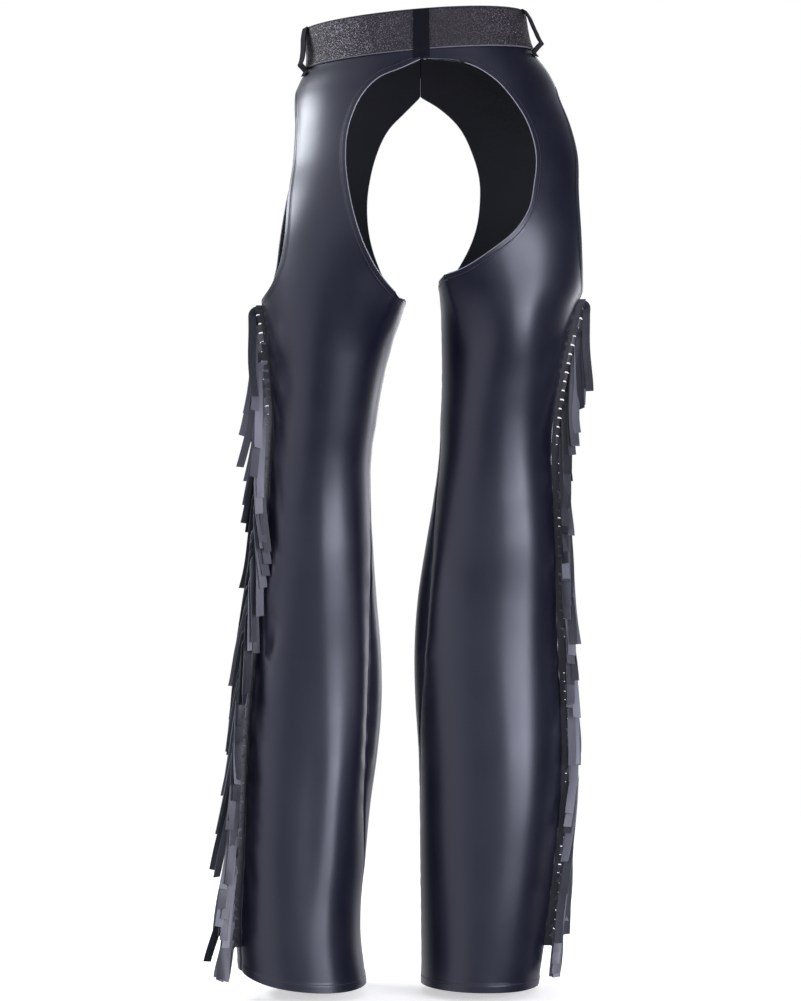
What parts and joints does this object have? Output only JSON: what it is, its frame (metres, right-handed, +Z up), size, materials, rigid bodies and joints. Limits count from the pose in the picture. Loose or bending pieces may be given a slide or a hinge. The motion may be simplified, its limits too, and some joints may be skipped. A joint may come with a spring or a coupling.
{
  "type": "fringed chaps with belt",
  "caption": "Black wet-look chaps worn over other clothes: open seat, front and hips, long flared legs with fringe down the outer seams, and a glitter belt in loops.",
  "frame": {"origin": "middle of the waist, level with the middle of the belt's height", "axes": "+Z up out of the waist, -Y towards the wearer's front, +X towards the wearer's left"},
  "size_m": [0.4232, 0.2138, 1.0707],
  "materials": {
    "wet_look_cloth": "satin gloss, black with a blue-grey sheen",
    "fringe_cloth": "satin, black",
    "glitter_belt": "fine dark glitter",
    "loop_cloth": "matt black",
    "dark_metal": "dark satin"
  },
  "bodies": {
    "root": {"left_back": "wet_look_cloth", "left_front": "wet_look_cloth", "right_back": "wet_look_cloth", "right_front": "wet_look_cloth", "fringe_left": "fringe_cloth", "fringe_right": "fringe_cloth", "belt": "glitter_belt", "buckle": "dark_metal", "belt_loop_back": "loop_cloth", "belt_loop_left": "loop_cloth", "belt_loop_right": "loop_cloth", "belt_loop_front_left": "loop_cloth", "belt_loop_front_right": "loop_cloth"}
  },
  "joints": []
}
